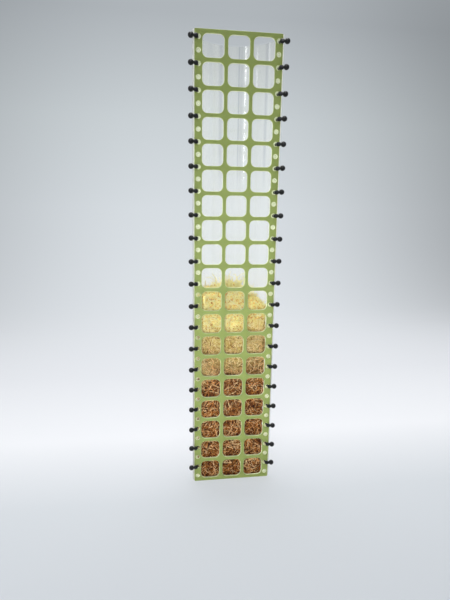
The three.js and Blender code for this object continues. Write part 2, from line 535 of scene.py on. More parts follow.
    def painted_shade_mask(self, add: Adder, x: NodeSocket, y: NodeSocket, z: NodeSocket) -> Node:
        """Add the share of painted shade in the upright bands on the bow's back.

        Args:
            add: Adder of the material's tree.
            x: Socket of the place across.
            y: Socket of the depth.
            z: Socket of the height.

        Returns:
            The node with the share.
        """
        on_back = add("ShaderNodeMath", {0: y, 1: 0.0}, operation="GREATER_THAN")
        end, full = self.shade_end_mm * MM, self.shade_full_mm * MM
        total = 0.0
        for place_mm, width_mm, most in self.painted_shade_bands:
            away = add("ShaderNodeMath", {0: x, 1: place_mm * MM}, operation="SUBTRACT")
            away = add("ShaderNodeMath", {0: away}, operation="ABSOLUTE")
            fade = {"Value": away, "From Max": width_mm / 2 * MM, "To Min": most, "To Max": 0.0}
            shade_band = add("ShaderNodeMapRange", fade, interpolation_type="SMOOTHSTEP")
            total = add("ShaderNodeMath", {0: total, 1: shade_band}, operation="ADD")
        high = add("ShaderNodeMapRange", {"Value": z, "From Min": end, "From Max": full, "To Max": on_back})
        return add("ShaderNodeMath", {0: high, 1: total}, operation="MULTIPLY")

    @staticmethod
    def upright_noise(add: Adder, place: NodeSocket, across_mm: float, along_mm: float) -> Node:
        """Add noise drawn out along the sheet.

        Args:
            add: Adder of the material's tree.
            place: Socket of the place on the object.
            across_mm: Size of the pattern across the sheet.
            along_mm: Size of the pattern up the sheet.

        Returns:
            The noise node.
        """
        scale = (scale_of(across_mm), scale_of(across_mm), scale_of(along_mm))
        stretched = add("ShaderNodeMapping", {"Vector": place, "Scale": scale})
        return add("ShaderNodeTexNoise", {"Vector": stretched, "Scale": 1.0, "Detail": 0.5})


@dataclass(frozen=True)
class MouldedNylon(Finish):
    """Injection-moulded black nylon.

    It gives the eye near-black with one soft highlight, and a faint unevenness left by the mould.
    """

    colour: str = "#050607"
    ior: float = 1.53
    specular_level: float = 0.5
    roughness_least: float = 0.24
    roughness_most: float = 0.34
    cloud_mm: float = 1.6
    relief_depth_mm: float = 0.03

    def shade(self, add: Adder) -> Node:
        """Add the shader's nodes.

        Args:
            add: Adder of the material's tree.

        Returns:
            The last node.
        """
        place = add("ShaderNodeTexCoord").outputs["Object"]
        clouds = add("ShaderNodeTexNoise", {"Vector": place, "Scale": scale_of(self.cloud_mm), "Detail": 3.0})
        gloss = {"Value": clouds, "To Min": self.roughness_least, "To Max": self.roughness_most}
        relief = {"Strength": 0.5, "Distance": self.relief_depth_mm * MM, "Height": clouds}
        return add(
            "ShaderNodeBsdfPrincipled",
            {
                "Base Color": linear(self.colour),
                "Roughness": add("ShaderNodeMapRange", gloss),
                "IOR": self.ior,
                "Specular IOR Level": self.specular_level,
                "Normal": add("ShaderNodeBump", relief),
            },
        )


@dataclass(frozen=True)
class DriedSphagnum(Finish):
    """Long-fibre sphagnum, air-dried and loosely packed.

    It gives the eye pale straw with tan flecks at the loose top, rust brown with a few pale strands lower
    down where it stays damp in patches, near-black painted shade for the gaps between strands there, a
    different tone from strand to strand, and strands that let light through.
    """

    top: Stops = ((0.0, "#ad6f2c"), (0.13, "#e6bd62"), (0.3, "#fbee98"), (1.0, "#fffbd0"))
    # The darkest lower tones are painted shade for the gaps between strands, which the heart and darkest strands
    # show
    low: Stops = ((0.0, "#180c05"), (0.28, "#713c15"), (0.6, "#d98c3f"), (1.0, "#ffe9b4"))
    ior: float = 1.45
    roughness: float = 0.85
    change_from_mm: float = 112.0
    change_to_mm: float = 178.0
    patch_mm: float = 38.0
    patch_reach_mm: float = 90.0
    fleck_mm: float = 2.2
    tone_low: float = 0.45
    tone_high: float = 1.55
    light_share: float = 0.15

    def shade(self, add: Adder) -> Node:
        """Add the shader's nodes.

        Args:
            add: Adder of the material's tree.

        Returns:
            The last node.
        """
        place = add("ShaderNodeTexCoord").outputs["Object"]
        height = add("ShaderNodeSeparateXYZ", {"Vector": place}).outputs["Z"]
        patches = add("ShaderNodeTexNoise", {"Vector": place, "Scale": scale_of(self.patch_mm), "Detail": 2.0})
        reach = {0: patches, 1: self.patch_reach_mm * MM, 2: height}
        dryness = add("ShaderNodeMath", reach, operation="MULTIPLY_ADD")
        change = {
            "Value": dryness,
            "From Min": (self.change_from_mm + self.patch_reach_mm / 2) * MM,
            "From Max": (self.change_to_mm + self.patch_reach_mm / 2) * MM,
        }
        tone = add("ShaderNodeAttribute", attribute_name=MossFill.TONE).outputs["Fac"]
        flecks = add("ShaderNodeTexNoise", {"Vector": place, "Scale": scale_of(self.fleck_mm), "Detail": 2.0})
        blend = add("ShaderNodeMath", {0: flecks, 1: tone}, operation="ADD")
        spread = {"Value": blend, "From Min": self.tone_low, "From Max": self.tone_high}
        share = add("ShaderNodeMapRange", spread)
        low, top = (add("ShaderNodeValToRGB", {"Fac": share}) for _ in (self.low, self.top))
        set_stops(low, self.low)
        set_stops(top, self.top)
        rise = add("ShaderNodeMapRange", change)
        colour = add("ShaderNodeMixRGB", {"Fac": rise, "Color1": low, "Color2": top})
        surface = {"Base Color": colour, "Roughness": self.roughness, "IOR": self.ior}
        strand = add("ShaderNodeBsdfPrincipled", surface)
        through = add("ShaderNodeBsdfTranslucent", {"Color": colour})
        return add("ShaderNodeMixShader", {"Fac": self.light_share, 1: strand, 2: through})


@dataclass(frozen=True)
class StudioPaper(Finish):
    """Seamless studio paper, matt.

    It gives the eye a plain pale grey with painted light that brightens towards the back of the floor and
    fades up the wall, a painted pool of light that falls off out to the sides, a soft shadow at the foot,
    and the room's own colour further away. Seen through clear plastic it is painted brighter, lower down
    most, and in reflections dimmer.
    The wall lets light through from behind. Its places are in metres: along the floor and up the wall for the
    stops, across for the pool, and from the pole's foot for the far end.
    """

    # Painted light along the floor and up the wall: brightest just behind the pole's foot, fading up the wall
    stops: Stops = (
        (-0.90, "#ced4d9"),
        (-0.30, "#c4c9cf"),
        (-0.05, "#d6dbe0"),
        (0.08, "#f2f4f8"),
        (0.30, "#e8ebf0"),
        (0.80, "#dfe4e9"),
        (1.32, "#d7dde2"),
        (1.60, "#cad1d5"),
        (1.90, "#afb5ba"),
    )
    # Painted pool of light across the middle, falling to a share at its edges
    pool_middle: float = 0.05
    pool_start: float = 0.1
    pool_end: float = 1.3
    pool_edge_share: float = 0.45
    floor_share: float = 0.66
    floor_end: float = 0.1
    wall_start: float = 0.6
    lit_end: float = 0.6
    plain_start: float = 1.2
    far_start: float = 1.5
    far_end: float = 2.6
    # Painted light: the backdrop is dimmed in reflections and brightened where seen through clear plastic
    mirror_share: float = 0.5
    clear_gain_top: float = 0.98
    clear_gain_low: float = 1.13
    gain_top: float = 1.83
    gain_low: float = 1.66
    roughness: float = 0.95

    def shade(self, add: Adder) -> Node:
        """Add the shader's nodes.

        Args:
            add: Adder of the material's tree.

        Returns:
            The last node.
        """
        place = add("ShaderNodeTexCoord").outputs["Object"]
        x, y, z = add("ShaderNodeSeparateXYZ", {"Vector": place}).outputs
        run = add("ShaderNodeMath", {0: y, 1: z}, operation="ADD")
        distance = add("ShaderNodeVectorMath", {0: place}, operation="LENGTH")
        colour = self.colour(add, x, run, distance)
        paper = {"Base Color": colour, "Roughness": self.roughness, "Specular IOR Level": 0.0}
        matt = add("ShaderNodeBsdfPrincipled", paper)
        gain = {
            "Value": run,
            "From Min": self.gain_low,
            "From Max": self.gain_top,
            "To Min": self.clear_gain_low,
            "To Max": self.clear_gain_top,
        }
        path = add("ShaderNodeLightPath").outputs
        mirrored = {"Value": path["Is Glossy Ray"], "To Min": 1.0, "To Max": self.mirror_share}
        strength = add("ShaderNodeMapRange", mirrored)
        through = add("ShaderNodeMapRange", gain)
        clear = {"Value": path["Is Transmission Ray"], "To Min": strength, "To Max": through}
        strength = add("ShaderNodeMapRange", clear)
        plain = add("ShaderNodeEmission", {"Color": colour, "Strength": strength})
        rise = {"Value": run, "From Min": self.floor_end, "From Max": self.wall_start}
        near = add("ShaderNodeMapRange", rise | {"To Min": self.floor_share, "To Max": 1.0})
        away = {"Value": distance, "From Min": self.lit_end, "From Max": self.plain_start}
        beyond = add("ShaderNodeMapRange", away)
        plain_share = add("ShaderNodeMath", {0: near, 1: beyond}, operation="MAXIMUM")
        seen = seen_directly(add)
        shown = add("ShaderNodeMath", {0: plain_share, 1: seen}, operation="MULTIPLY")
        face = add("ShaderNodeMixShader", {"Fac": shown, 1: matt, 2: plain})
        unseen = add("ShaderNodeMath", {0: 1.0, 1: seen}, operation="SUBTRACT")
        open_share = add("ShaderNodeMath", {0: plain_share, 1: unseen}, operation="MULTIPLY")
        opened = {"Value": open_share, "From Min": self.floor_share, "From Max": 1.0}
        open_share = add("ShaderNodeMapRange", opened)
        lit = add("ShaderNodeBsdfTransparent", {"Color": (1.0, 1.0, 1.0, 1.0)})
        return add("ShaderNodeMixShader", {"Fac": open_share, 1: face, 2: lit})

    def colour(self, add: Adder, x: NodeSocket, run: Node, distance: Node) -> Node:
        """Add the paper's colour.

        Args:
            add: Adder of the material's tree.
            x: Socket of the place across.
            run: Node with the way along the floor and up the wall.
            distance: Node with the distance from the pole's foot.

        Returns:
            The node with the colour.
        """
        along = {"Value": run, "From Min": self.stops[0][0], "From Max": self.stops[-1][0]}
        ramp = add("ShaderNodeValToRGB", {"Fac": add("ShaderNodeMapRange", along)})
        set_stops(ramp, self.stops)
        aside = add("ShaderNodeMath", {0: x, 1: self.pool_middle}, operation="SUBTRACT")
        across = {
            "Value": add("ShaderNodeMath", {0: aside}, operation="ABSOLUTE"),
            "From Min": self.pool_start,
            "From Max": self.pool_end,
            "To Min": 1.0,
            "To Max": self.pool_edge_share,
        }
        pool = add("ShaderNodeMapRange", across, interpolation_type="SMOOTHSTEP")
        pooled = add("ShaderNodeVectorMath", {0: ramp, "Scale": pool}, operation="SCALE")
        rise = {"Value": run, "From Min": self.floor_end, "From Max": self.wall_start}
        up_wall = add("ShaderNodeMapRange", rise)
        pooled = add("ShaderNodeMixRGB", {"Fac": up_wall, "Color1": ramp, "Color2": pooled})
        away = {"Value": distance, "From Min": self.far_start, "From Max": self.far_end}
        far = add("ShaderNodeMapRange", away, interpolation_type="SMOOTHSTEP")
        plain = linear(Studio.seen_plain)
        return add("ShaderNodeMixRGB", {"Fac": far, "Color1": pooled, "Color2": plain})


@dataclass(frozen=True)
class StudioCamera:
    """Camera at the photograph's place and angle, in metres."""

    place: Point = (-0.0715, -0.45135, 0.2925)
    look: Point = (0.1385, 0.968, -0.2095)
    up: Point = (0.0156, 0.2093, 0.9777)
    focal_length: float = 27.0
    sensor_width: float = 36.0

    def build(self) -> None:
        """Make the camera and give it to the scene."""
        data = bpy.data.cameras.new("camera")
        data.lens, data.sensor_width = self.focal_length, self.sensor_width
        camera = new_object("camera", data)
        ahead = Vector(self.look).normalized()
        right = ahead.cross(Vector(self.up)).normalized()
        turn = Matrix((right, right.cross(ahead), -ahead)).transposed()
        camera.matrix_world = Matrix.Translation(self.place) @ turn.to_4x4()
        bpy.context.scene.camera = camera


@dataclass(frozen=True)
class Softbox:
    """A rectangular lamp with or without a grid, in metres.

    Level 1 alone shows a white card where the lamp aims as white. A grid narrows the spread of its light.
    """

    name: str
    place: Point
    aim: Point
    width: float
    height: float
    level: float
    spread: float = math.pi
    mirrored: bool = True

    def build(self) -> None:
        """Make the lamp, turned to what it is aimed at."""
        reach = Vector(self.aim) - Vector(self.place)
        data = bpy.data.lights.new(self.name, "AREA")
        data.shape = "RECTANGLE"
        data.size, data.size_y = self.width, self.height
        data.energy = self.level * math.pi**2 * reach.length_squared
        if self.spread < math.pi:
            half_spread = self.spread / 2
            data.energy *= 1 - half_spread / math.tan(half_spread)
            data.spread = self.spread
        lamp = new_object(self.name, data)
        lamp.visible_transmission = False
        lamp.visible_glossy = self.mirrored
        turn = reach.to_track_quat("-Z", "Y").to_matrix().to_4x4()
        lamp.matrix_world = Matrix.Translation(self.place) @ turn


@dataclass(frozen=True)
class Studio:
    """Pale paper sweep, soft lamps and even room light, in metres."""

    half_width: float = 6.0
    front: float = -6.0
    cove_start: float = 0.7
    cove_radius: float = 0.35
    top: float = 3.0
    cove_steps: int = 16
    room_front_level: float = 0.16
    room_back_level: float = 0.75
    room_back_start: float = 0.5
    room_colour: str = "#f6f8fb"
    seen_mirrored: str = "#a4a9ae"
    seen_plain: str = "#d7dde2"
    lamps: tuple[Softbox, ...] = (
        Softbox(
            "low_front_softbox",
            (-0.3, -0.75, 0.16),
            (0, 0, 0.16),
            0.5,
            0.3,
            1.6,
            spread=math.radians(46.5),
            mirrored=False,
        ),
        Softbox("window_softbox", (0.0, -0.75, 1.1), (0, 0, 0.3), 0.45, 0.34, 0.14),
        Softbox("overhead_softbox", (0.0, 0.15, 1.7), (0, 0, 0.2), 0.9, 0.7, 0.8),
        Softbox("left_streak_strip", (-0.52, -1.05, 0.72), (0, 0, 0.3), 0.07, 0.7, 0.095),
        Softbox("side_streak_strip", (-1.3, 0.1, 0.6), (0, 0, 0.3), 0.12, 0.8, 0.05),
        Softbox("short_streak_box", (-0.79, -0.51, 0.68), (0, 0, 0.4), 0.06, 0.1, 0.01),
    )

    def build(self) -> None:
        """Make the sweep, the lamps and the room light."""
        radii = (self.cove_radius, self.cove_radius)
        profile = [
            (self.front, 0.0),
            *arc((self.cove_start, self.cove_radius), radii, -math.pi / 2, math.pi / 2, self.cove_steps),
            (self.cove_start + self.cove_radius, self.top),
        ]
        points = [Vector((x, y, z)) for y, z in profile for x in (-self.half_width, self.half_width)]
        faces = [(2 * n, 2 * n + 1, 2 * n + 3, 2 * n + 2) for n in range(len(profile) - 1)]
        sweep = new_object("paper_sweep", mesh_of("paper_sweep", points, faces))
        sweep.data.shade_smooth()
        sweep.data.materials.append(StudioPaper("studio_paper").material())
        for lamp in self.lamps:
            lamp.build()
        bpy.context.scene.world = self.room()

    def room(self) -> World:
        """Make the room's soft light, stronger from behind the pole, and the plain colours that it shows.

        Returns:
            The new world.
        """
        world = bpy.data.worlds.new("room")
        world.use_nodes = True
        world.node_tree.nodes.clear()
        add = partial(add_node, world.node_tree)
        direction = add("ShaderNodeTexCoord").outputs["Generated"]
        backwards = add("ShaderNodeSeparateXYZ", {"Vector": direction}).outputs["Y"]
        turned = {"Value": backwards, "From Min": 0.0, "From Max": self.room_back_start}
        behind = add("ShaderNodeMapRange", turned)
        levels = {"Value": behind, "To Min": self.room_front_level, "To Max": self.room_back_level}
        strength = add("ShaderNodeMapRange", levels)
        light = add("ShaderNodeBackground", {"Color": linear(self.room_colour), "Strength": strength})
        path = add("ShaderNodeLightPath").outputs
        glossy, clear = path["Is Glossy Ray"], path["Is Transmission Ray"]
        mirrors = add("ShaderNodeMath", {0: glossy, 1: clear}, operation="GREATER_THAN")
        plain, mirrored = linear(self.seen_plain), linear(self.seen_mirrored)
        shown = add("ShaderNodeMixRGB", {"Fac": mirrors, "Color1": plain, "Color2": mirrored})
        seen = add("ShaderNodeBackground", {"Color": shown})
        mixed = add("ShaderNodeMixShader", {"Fac": seen_directly(add), 1: light, 2: seen})
        add("ShaderNodeOutputWorld", {"Surface": mixed})
        return world


@dataclass
class GridPanel:
    """Flat moulded panel with rounded cells and a row of holes down each side strip, in millimetres.

    The painted edge highlight attribute is 1 on the middle of each edge and falls to 0 at its faces, between
    two shares of the way across it; it places a pale painted highlight on the rounded edges. The opening
    attribute is 1 round cells and holes, and less round the outside, and scales that painted highlight.
    """

    width: float = 80.0
    height: float = 442.0
    thickness: float = 1.6
    corner_radius: float = 1.2
    strip_width: float = 7.2
    upright_width: float = 3.6
    bar_height: float = 3.8
    columns: int = 3
    rows: int = 19
    cell_radius: float = 4.6
    hole_diameter: float = 4.0
    hole_count: int = 40
    end_hole_distance: float = 6.5
    edge_round: float = 0.45
    face_margin: float = 0.25
    corner_steps: int = 7
    edge_steps: int = 4
    hole_sides: int = 24
    # Where the painted edge highlight starts and ends across an edge, and its share on the outer outline
    highlight_start: float = 0.09
    highlight_end: float = 0.27
    outer_highlight_share: float = 0.4

    RIM = "rim"
    OPENING = "opening"
    NODE = "grid_panel"

    @property
    def cell_width(self) -> float:
        """Width of one cell."""
        uprights = (self.columns - 1) * self.upright_width
        return (self.width - 2 * self.strip_width - uprights) / self.columns

    @property
    def row_pitch(self) -> float:
        """Distance from one cross bar to the next."""
        return (self.height - self.bar_height) / self.rows

    @property
    def hole_offset(self) -> float:
        """Distance of each row of holes from the panel's middle."""
        return self.width / 2 - self.strip_width / 2

    @property
    def hole_pitch(self) -> float:
        """Distance from one hole to the next."""
        return (self.height - 2 * self.end_hole_distance) / (self.hole_count - 1)

    @property
    def front(self) -> float:
        """Depth of the panel's front face."""
        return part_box(self.NODE)[0].y / MM

    def recipe(self) -> Recipe:
        """Build the tree that sweeps a rounded edge round every opening and fills the faces between.

        Returns:
            The finished tree.
        """
        recipe = Recipe(
            "grid_panel_tree",
            {
                "Panel Width": self.width,
                "Panel Height": self.height,
                "Panel Radius": self.corner_radius,
                "Half Thickness": self.thickness / 2,
                "Cell Width": self.cell_width,
                "Cell Height": self.row_pitch - self.bar_height,
                "Cell Radius": self.cell_radius,
                "Cell Span Across": (self.columns - 1) * (self.cell_width + self.upright_width),
                "Cell Span Along": (self.rows - 1) * self.row_pitch,
                "Hole Radius": self.hole_diameter / 2,
                "Hole Span Across": 2 * self.hole_offset,
                "Hole Span Along": (self.hole_count - 1) * self.hole_pitch,
                "Edge Round": self.edge_round,
                "Edge Reach": self.edge_round + self.face_margin,
                "Front": self.front,
                "Middle Height": self.height / 2,
            },
            {
                "Cell Columns": self.columns,
                "Cell Rows": self.rows,
                "Hole Columns": len(Side),
                "Hole Rows": self.hole_count,
                "Corner Steps": self.corner_steps,
                "Edge Steps": self.edge_steps,
                "Hole Sides": self.hole_sides,
            },
        )
        add, size = recipe.add, recipe.size
        half, below = size("Half Thickness"), self.below(recipe)
        swept = {"Curve": self.rims(recipe), "Profile Curve": self.edge_profile(recipe)}
        edges = add("GeometryNodeCurveToMesh", swept)
        height = add("ShaderNodeSeparateXYZ", {"Vector": add("GeometryNodeInputPosition")}).outputs["Z"]
        bordered = {"A": add("GeometryNodeInputMeshEdgeNeighbors"), "B": 1}
        is_open = add("FunctionNodeCompare", bordered, data_type="INT", operation="EQUAL")
        shells = [edges]
        for operation, lift in (("GREATER_THAN", half), ("LESS_THAN", below)):
            sided = {"A": height, "B": 0.0}
            on_side = add("FunctionNodeCompare", sided, data_type="FLOAT", operation=operation)
            chosen = add("FunctionNodeBooleanMath", {0: is_open, 1: on_side}, operation="AND")
            loops = add("GeometryNodeMeshToCurve", {"Mesh": edges, "Selection": chosen})
            face = add("GeometryNodeFillCurve", {"Curve": loops}, mode="TRIANGLES")
            lifted = add("ShaderNodeCombineXYZ", {"Z": lift})
            shells.append(add("GeometryNodeTransform", {"Geometry": face, "Translation": lifted}))
        plate = add("GeometryNodeJoinGeometry", {"Geometry": shells})
        plate = add("GeometryNodeMergeByDistance", {"Geometry": plate, "Distance": WELD_DISTANCE})
        middle = add("ShaderNodeMath", {0: size("Front"), 1: half}, operation="ADD")
        stood = add("ShaderNodeCombineXYZ", {"Y": middle, "Z": size("Middle Height")})
        turned = {"Geometry": plate, "Translation": stood, "Rotation": UPRIGHT}
        plate = add("GeometryNodeTransform", turned)
        plate = add("GeometryNodeSetShadeSmooth", {"Geometry": plate})
        recipe.close(plate, MouldedPolypropylene("moulded_polypropylene_green").material())
        return recipe

    @staticmethod
    def below(recipe: Recipe) -> Node:
        """Add the depth of the lying panel's lower face."""
        return recipe.add("ShaderNodeMath", {0: recipe.size("Half Thickness"), 1: -1.0}, operation="MULTIPLY")

    def rims(self, recipe: Recipe) -> Node:
        """Add the closed curves of the panel's outline, its cells and its holes, lying flat.

        Args:
            recipe: Tree that takes the nodes.

        Returns:
            The node with the curves.
        """
        add, size = recipe.add, recipe.size
        rounded = []
        for name in ("Panel", "Cell"):
            sides = {"Width": size(f"{name} Width"), "Height": size(f"{name} Height")}
            square = add("GeometryNodeCurvePrimitiveQuadrilateral", sides)
            corners = {"Curve": square, "Count": size("Corner Steps"), "Radius": size(f"{name} Radius")}
            rounded.append(add("GeometryNodeFilletCurve", corners, mode="POLY"))
        outline, cell = rounded
        outline = add("GeometryNodeReverseCurve", {"Curve": outline})
        round_hole = {"Resolution": size("Hole Sides"), "Radius": size("Hole Radius")}
        hole = add("GeometryNodeCurvePrimitiveCircle", round_hole)
        openings = []
        for name, shape in (("Cell", cell), ("Hole", hole)):
            grid = {
                "Size X": size(f"{name} Span Across"),
                "Size Y": size(f"{name} Span Along"),
                "Vertices X": size(f"{name} Columns"),
                "Vertices Y": size(f"{name} Rows"),
            }
            copies = {"Points": add("GeometryNodeMeshGrid", grid), "Instance": shape}
            openings.append(add("GeometryNodeInstanceOnPoints", copies))
        joined = add("GeometryNodeJoinGeometry", {"Geometry": openings})
        real = add("GeometryNodeRealizeInstances", {"Geometry": joined})
        marked = []
        # Each outline's share of the painted edge highlight
        for curve, highlight_share in ((real, 1.0), (outline, self.outer_highlight_share)):
            mark = {"Geometry": curve, "Name": self.OPENING, "Value": highlight_share}
            stored = add("GeometryNodeStoreNamedAttribute", mark, data_type="FLOAT", domain="POINT")
            marked.append(stored)
        return add("GeometryNodeJoinGeometry", {"Geometry": marked})

    def edge_profile(self, recipe: Recipe) -> Node:
        """Add the section of an edge with its two rounds, marked with its share of the painted highlight.

        Args:
            recipe: Tree that takes the nodes.

        Returns:
            The node with the open curve.
        """
        add, size = recipe.add, recipe.size
        half, below, reach = size("Half Thickness"), self.below(recipe), size("Edge Reach")
        places = ({"X": reach, "Y": half}, {"Y": half}, {"Y": below}, {"X": reach, "Y": below})
        corners = {f"Point {n + 1}": add("ShaderNodeCombineXYZ", place) for n, place in enumerate(places)}
        profile = add("GeometryNodeCurvePrimitiveQuadrilateral", corners, mode="POINTS")
        profile = add("GeometryNodeSetSplineCyclic", {"Geometry": profile, "Cyclic": False})
        rounds = {"Curve": profile, "Count": size("Edge Steps"), "Radius": size("Edge Round")}
        profile = add("GeometryNodeFilletCurve", rounds, mode="POLY")
        across = add("ShaderNodeMath", {0: add("GeometryNodeSplineParameter"), 1: 0.5}, operation="PINGPONG")
        # Share of the painted highlight across the edge
        shares = {"Value": across, "From Min": self.highlight_start, "From Max": self.highlight_end}
        highlight_share = add("ShaderNodeMapRange", shares)
        mark = {"Geometry": profile, "Name": self.RIM, "Value": highlight_share}
        return add("GeometryNodeStoreNamedAttribute", mark, data_type="FLOAT", domain="POINT")

    def build(self) -> list[Object]:
        """Make the panel.

        Returns:
            The finished piece.
        """
        piece = new_object("panel_moulding", bpy.data.meshes.new("panel_moulding"))
        self.recipe().run(piece)
        return [hand_over(piece, Slot.GREEN, [self.NODE])]


@dataclass
class BeadPins:
    """Moulded pins with a round bead, pushed through every second hole of both strips, in millimetres.

    The stem's rings run from the barb's tip to the strip, each with its depth behind the strip's front and
    its radius. The neck's rings run on to the bead, each with its distance from the hole's middle, its share
    of the way forward to the bead, and half its thickness and height. The elbow turns from one to the other.
    """

    panel: GridPanel
    count: int = 20
    holes_per_pin: int = 2
    stem_shift: float = 0.9
    stem_radius: float = 0.8
    barb_tip: float = 5.3
    stem_rings: tuple[FlatPoint, ...] = (
        (5.28, 0.2),
        (5.1, 0.42),
        (4.4, 0.66),
        (3.3, 1.2),
        (2.92, 1.35),
        (2.78, 1.3),
        (2.7, 1.15),
        (2.68, 0.9),
        (2.58, 0.8),
        (0.1, 0.8),
    )
    elbow_reach: float = 1.2
    elbow_depth: float = -0.25
    elbow_swell: float = 0.3
    elbow_growth: float = 0.15
    elbow_power: float = 0.2
    elbow_steps: int = 6
    knuckle_half_height: float = 2.05
    neck_depth: float = -1.65
    neck_rings: tuple[Colour, ...] = (
        (2.6, 0.0, 1.35, 2.05),
        (3.3, 0.1, 1.35, 1.95),
        (3.89, 0.4, 1.35, 1.5),
        (4.29, 0.75, 1.25, 1.35),
    )
    bead_radius: float = 2.6
    bead_offset: float = 6.84
    bead_forward: float = 2.0
    bead_rise: float = 0.15
    bead_start: float = math.radians(152)
    bead_end: float = math.radians(9)
    bead_steps: int = 12
    sides: int = 18
    tilt: float = math.radians(4)
    seed: int = 3

    @property
    def pitch(self) -> float:
        """Distance from one pin to the next."""
        return self.holes_per_pin * self.panel.hole_pitch

    @property
    def top(self) -> float:
        """Height of the highest pin."""
        return self.panel.height - self.panel.end_hole_distance

    def rings(self) -> list[tuple[float, float, float, float, float, float]]:
        """Give the pin's rings from the barb's tip to the bead's crown.

        Returns:
            For each ring its middle's X, Y and Z, how far it has turned from stem to neck, and half its
            thickness and height.
        """
        rings = [(self.stem_shift, y, 0.0, 0.0, radius, radius) for y, radius in self.stem_rings]
        for step in range(1, self.elbow_steps + 1):
            share = step / self.elbow_steps
            turn = math.pi / 2 * share
            x = self.stem_shift + self.elbow_reach * (1 - math.cos(turn))
            y = self.elbow_depth + (self.neck_depth - self.elbow_depth) * math.sin(turn)
            thickness = self.stem_radius + self.elbow_swell * math.sin(2 * turn) + self.elbow_growth * share
            growth = (self.knuckle_half_height - self.stem_radius) * share**self.elbow_power
            rings.append((x, y, 0.0, turn, thickness, self.stem_radius + growth))
        for x, share, thickness, height in self.neck_rings:
            y = self.neck_depth + (-self.bead_forward - self.neck_depth) * share
            rings.append((x, y, self.bead_rise * share, math.pi / 2, thickness, height))
        for step in range(self.bead_steps + 1):
            angle = self.bead_start + (self.bead_end - self.bead_start) * step / self.bead_steps
            radius = self.bead_radius * math.sin(angle)
            x = self.bead_offset + self.bead_radius * math.cos(angle)
            rings.append((x, -self.bead_forward, self.bead_rise, math.pi / 2, radius, radius))
        return rings

    def pin_mesh(self, side: Side) -> Mesh:
        """Loft one pin, with its hole's middle on the strip's front face at the origin.

        Args:
            side: Side of the panel that the pin is for.

        Returns:
            The closed mesh.
        """
        rings = self.rings()
        places = []
        for x, y, z, turn, thickness, height in rings:
            for index in range(self.sides):
                angle = 2 * math.pi * index / self.sides
                across = thickness * math.cos(angle)
                rise = z + height * math.sin(angle)
                places.append((x - across * math.cos(turn), y - across * math.sin(turn), rise))
        tip, crown = len(places), len(places) + 1
        places.append((self.stem_shift, self.barb_tip, 0.0))
        places.append((self.bead_offset + self.bead_radius, -self.bead_forward, self.bead_rise))
        faces = ring_faces(len(rings), self.sides)
        last_ring = tip - self.sides
        for index in range(self.sides):
            after = (index + 1) % self.sides
            faces += [(tip, after, index), (crown, last_ring + index, last_ring + after)]
        points = [Vector((side.value * x, y, z)) * MM for x, y, z in places]
        mesh = mesh_of(f"pin_{side.name.lower()}", points, faces)
        close_and_turn_out(mesh)
        mesh.shade_smooth()
        return mesh

    def recipe(self, side: Side, material: Material) -> Recipe:
        """Build the tree that sets one pin in every second hole of a strip, each a little askew.

        Args:
            side: Side of the panel.
            material: Material of the pins.

        Returns:
            The finished tree.
        """
        recipe = Recipe(
            f"{side.name.lower()}_pins_tree",
            {
                "Start Across": side.value * self.panel.hole_offset,
                "Start Depth": self.panel.front,
                "Start Height": self.top,
                "Pitch": -self.pitch,
            },
            {
                "Count": self.count,
                "Least Tilt": -self.tilt,
                "Most Tilt": self.tilt,
                "Seed": self.seed + side.value,
            },
        )
        add, size = recipe.add, recipe.size
        first = {"X": size("Start Across"), "Y": size("Start Depth"), "Z": size("Start Height")}
        start, step = add("ShaderNodeCombineXYZ", first), add("ShaderNodeCombineXYZ", {"Z": size("Pitch")})
        row = {"Count": size("Count"), "Start Location": start, "Offset": step}
        limits = {"Min": size("Least Tilt"), "Max": size("Most Tilt"), "Seed": size("Seed")}
        lean = add("FunctionNodeRandomValue", limits, data_type="FLOAT")
        turn = {"Euler": add("ShaderNodeCombineXYZ", {"Y": lean})}
        pins = {
            "Points": add("GeometryNodeMeshLine", row),
            "Instance": size("Geometry"),
            "Rotation": add("FunctionNodeEulerToRotation", turn),
        }
        recipe.close(add("GeometryNodeInstanceOnPoints", pins), material)
        return recipe

    def build(self) -> list[Object]:
        """Make both rows of pins.

        Returns:
            The finished pieces.
        """
        material = MouldedNylon("moulded_nylon_black").material()
        pieces = []
        for side in Side:
            label = side.name.lower()
            piece = new_object(f"bead_pins_{label}", self.pin_mesh(side))
            self.recipe(side, material).run(piece)
            nodes = [f"pin_{label}_{number:02d}" for number in range(1, self.count + 1)]
            pieces.append(hand_over(piece, Slot.BLACK, nodes))
        return pieces


